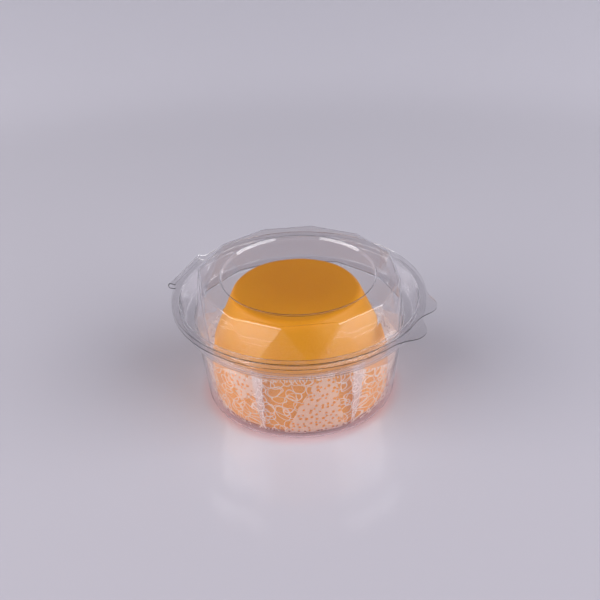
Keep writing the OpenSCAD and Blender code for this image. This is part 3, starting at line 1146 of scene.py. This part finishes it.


# %% [markdown]
# ## Film material
# The film is so thin that light goes straight through it: a Transparent shader. Near the foot,
# where the film is bunched, a painted pinkish glow tints it, which stands in for the cake's colour
# in the light there. A small share of it is milky: about half of that is matt, and the rest lets
# light through from behind, so that the film isn't dark where the lamps stand behind it. Near the
# foot more of it is milky, and that share carries the painted glow too. Where there is ink, more
# of it is milky. A soft shine lies over everything, with crinkles that come from a combed noise.
# Both faces of the film show the ink, so its strength on each is less than it looks.

# %% Film material
# Colours away from the film's foot, and at it, where a painted pinkish glow stands in for the
# cake's colour in the light
CLEAR_AND_PAINTED_GLOW_COLOURS = ((0.985, 0.965, 0.96, 1), (0.98, 0.80, 0.78, 1))
MILKY_AND_PAINTED_GLOW_COLOURS = ((0.93, 0.89, 0.90, 1), (0.93, 0.68, 0.64, 1))
LIT_FROM_BEHIND = 0.55
# Milky share away from the foot, and the extra share at the foot, which carries the painted glow
HAZE, FOOT_HAZE_AND_GLOW = 0.035, 0.22
SHINE, GRAZING_SHINE = 0.035, 0.25


def printed_film(print_group, fan_middle):
    """Material of the clear film with its white ink."""
    material, tree = new_material("clear_film_with_lace")
    place = node(tree, "ShaderNodeAttribute", attribute_name="print_place").outputs["Vector"]
    tucked = node(tree, "ShaderNodeAttribute", attribute_name="tucked").outputs["Fac"]
    foot = node(tree, "ShaderNodeAttribute", attribute_name="foot_share").outputs["Fac"]
    lace = node(tree, "ShaderNodeGroup", node_tree=print_group)
    tree.links.new(place, lace.inputs["Place"])
    tree.links.new(tucked, lace.inputs["Tucked"])
    lace.inputs["Fan middle"].default_value = fan_middle
    creased = node(tree, "ShaderNodeMapping", {"Vector": place, "Scale": (0.5, 0.12, 0)}).outputs[0]
    creases = noise(tree, creased, 1.0, 2.0)
    normal = bump(tree, creases, 0.5, 0.001)
    # Painted pinkish glow near the foot, in the clear colour and in the milky one
    clear = blended(tree, foot, *CLEAR_AND_PAINTED_GLOW_COLOURS)
    milky = blended(tree, foot, *MILKY_AND_PAINTED_GLOW_COLOURS)
    matt = shade(tree, "ShaderNodeMixShader", {
        0: LIT_FROM_BEHIND,
        1: shade(tree, "ShaderNodeBsdfDiffuse", {"Color": milky}),
        2: shade(tree, "ShaderNodeBsdfTranslucent", {"Color": milky}),
    })
    haze = calculate(tree, "MULTIPLY_ADD", foot, FOOT_HAZE_AND_GLOW, HAZE)
    body = shade(tree, "ShaderNodeMixShader", {
        0: mixed(tree, lace.outputs["Ink"], haze, 1.0),
        1: shade(tree, "ShaderNodeBsdfTransparent", {"Color": clear}),
        2: matt,
    })
    gloss = shade(tree, "ShaderNodeBsdfGlossy", {
        "Color": (1, 1, 1, 1), "Roughness": 0.15, "Normal": normal,
    })
    facing = node(tree, "ShaderNodeLayerWeight", {"Blend": 0.5}).outputs["Facing"]
    grazing = calculate(tree, "POWER", facing, 5.0)
    mirrored = calculate(tree, "MULTIPLY_ADD", grazing, GRAZING_SHINE, SHINE)
    skin = shade(tree, "ShaderNodeMixShader", {0: mirrored, 1: body, 2: gloss})
    show(tree, skin)
    return material


# Turn of the pack at which a fan's middle lies, and its last shift along the film
FAN_TURN = 221
FAN_SHIFT = -1.4
fan_station = min(
    range(len(stations)), key=lambda k: abs(stations[k][0] + stations[k][1] - FAN_TURN)
)
cover(film_wrap, printed_film(lace_print(), walked[fan_station] + FAN_SHIFT))
thicken(film_wrap, FILM)
print("film round the cake:", round(walked[-1]), "mm, with a fan at", round(walked[fan_station]))

# %% [markdown]
# ## Table
# A pale lilac-grey table with a slight shine. Its shine matters: the lid's facets look down at it,
# and those to the left and right see the light boxes mirrored in it, which makes them pale. The
# paper's colour carries painted light: it gets a little lighter away from the camera, as painted
# light falloff, and a painted shade makes it dark far in front, outside the picture, so that the
# facet in front stays clear. Close round the pack a painted pinkish glow stands in for the cake's
# colour in the light that falls there.

# %% Table
TABLE_R = 1500
WALL_H = 450
WALL_LEAN = 60
COVE_BEND = 250
COVE_RAYS = 96
cove_path = stretched(bent(
    [(0, 0), (TABLE_R, 0), (TABLE_R + WALL_LEAN, WALL_H)], [0, COVE_BEND, 0],
), COVE_BEND)[1:]
cove_points = [(0, 0, 0)] + [
    (r * math.cos(math.tau * k / COVE_RAYS), r * math.sin(math.tau * k / COVE_RAYS), z)
    for r, z in cove_path
    for k in range(COVE_RAYS)
]
table = mesh_object("table", cove_points, ring_faces(len(cove_path), COVE_RAYS))
print("table:", [round(v, 2) for v in table.dimensions], "m")

# %% Table material
# Painted light falloff: the paper's colours in front and far behind, and how far behind the pack
# each holds
PAINTED_FALLOFF_COLOURS = ((0.533, 0.51, 0.577, 1), (0.72, 0.705, 0.783, 1))
FALLOFF_FROM, FALLOFF_TO = -0.2, 0.7
# Painted shade far in front, outside the picture, which the facet in front mirrors, and where it
# starts and ends
PAINTED_SHADE_COLOUR = (0.15, 0.14, 0.155, 1)
PAINTED_SHADE_FROM, PAINTED_SHADE_TO = -0.28, -0.18
# Painted pinkish glow close round the pack, which stands in for the cake's colour in the light
# there, and its reach in metres
PAINTED_GLOW_COLOUR = (0.66, 0.34, 0.34, 1)
PAINTED_GLOW = 0.45
PAINTED_GLOW_FROM, PAINTED_GLOW_TO = 0.0435, 0.0515


def table_top():
    """Material of the paper, with painted light falloff, a painted shade in front and a painted
    glow.
    """
    material, tree = new_material("pale_table")
    place = node(tree, "ShaderNodeTexCoord").outputs["Object"]
    behind = measure(tree, "DOT_PRODUCT", place, BEHIND)
    painted_falloff = blended(tree, ramp(tree, behind, FALLOFF_FROM, FALLOFF_TO), *PAINTED_FALLOFF_COLOURS)
    paper_with_painted_light = blended(tree, ramp(tree, behind, PAINTED_SHADE_FROM, PAINTED_SHADE_TO), PAINTED_SHADE_COLOUR, painted_falloff)
    reach = measure(tree, "LENGTH", place)
    painted_glow = ramp(tree, reach, PAINTED_GLOW_FROM, PAINTED_GLOW_TO, PAINTED_GLOW, 0.0, "SMOOTHSTEP")
    top = shade(tree, "ShaderNodeBsdfPrincipled", {
        "Base Color": blended(tree, painted_glow, paper_with_painted_light, PAINTED_GLOW_COLOUR),
        "Roughness": 0.14,
        "IOR": 1.5,
    })
    show(tree, top)
    return material


cover(table, table_top())

# %% [markdown]
# ## Light
# Two tall light boxes stand on the table to the left and right. The room is a pale grey, which is
# brighter on the camera's side, but nothing in it is as bright as a lamp, and no lamp hangs
# overhead, so the lid's front facet and the front edge of its shoulder stay clear, while the edges
# to their left and right shine.

# %% Light boxes
BOX_TURN = 70
BOX_DISTANCE = 1.15
BOX_HEIGHT = 0.50
BOX_WIDTH = 1.4
BOX_TALL = 0.95
BOX_WATTS = 21
BOX_TARGET = Vector((0, 0, 0.05))


def light_box(name, turn_from_front, colour):
    """A soft box at a turn from the camera's side, which faces the pack."""
    data = bpy.data.lights.new(name, "AREA")
    data.shape = "RECTANGLE"
    data.size = BOX_WIDTH
    data.size_y = BOX_TALL
    data.energy = BOX_WATTS
    data.color = colour
    turn = CAMERA_TURN + math.radians(turn_from_front - 90)
    place = Vector((BOX_DISTANCE * math.cos(turn), BOX_DISTANCE * math.sin(turn), BOX_HEIGHT))
    facing = (place - BOX_TARGET).to_track_quat("Z", "Y").to_matrix().to_4x4()
    link(bpy.data.objects.new(name, data)).matrix_world = Matrix.Translation(place) @ facing


light_box("light_box_left", -BOX_TURN, (1.0, 0.985, 0.98))
light_box("light_box_right", BOX_TURN, (0.98, 0.985, 1.0))
print("light boxes:", 2 * BOX_WATTS, "W in all")

# %% Room
ROOM_COLOUR = (0.50, 0.475, 0.55, 1)
ROOM_BEHIND, ROOM_IN_FRONT = 0.12, 0.42
world = bpy.data.worlds.new("room")
world.use_nodes = True
room = world.node_tree
direction = node(room, "ShaderNodeTexCoord").outputs["Generated"]
in_front = measure(room, "DOT_PRODUCT", direction, FRONT)
strength = ramp(room, in_front, -0.9, 0.9, ROOM_BEHIND, ROOM_IN_FRONT)
room.nodes["Background"].inputs["Color"].default_value = ROOM_COLOUR
room.links.new(strength, room.nodes["Background"].inputs["Strength"])
scene = bpy.context.scene
scene.world = world
scene.view_settings.view_transform = "Standard"
scene.cycles.transparent_max_bounces = 64
scene.cycles.max_bounces = 32
scene.cycles.transmission_bounces = 32
scene.cycles.glossy_bounces = 6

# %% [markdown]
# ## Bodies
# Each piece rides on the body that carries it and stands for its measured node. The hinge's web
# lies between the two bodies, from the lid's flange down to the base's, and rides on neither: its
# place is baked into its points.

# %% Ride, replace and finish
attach(base_sheet, "base")
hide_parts("base_shell")
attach(lid_sheet, "lid")
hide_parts("lid_shell")
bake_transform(hinge_web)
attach(cake, "base")
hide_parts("cake")
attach(film_wrap, "base")
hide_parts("film_wrap")
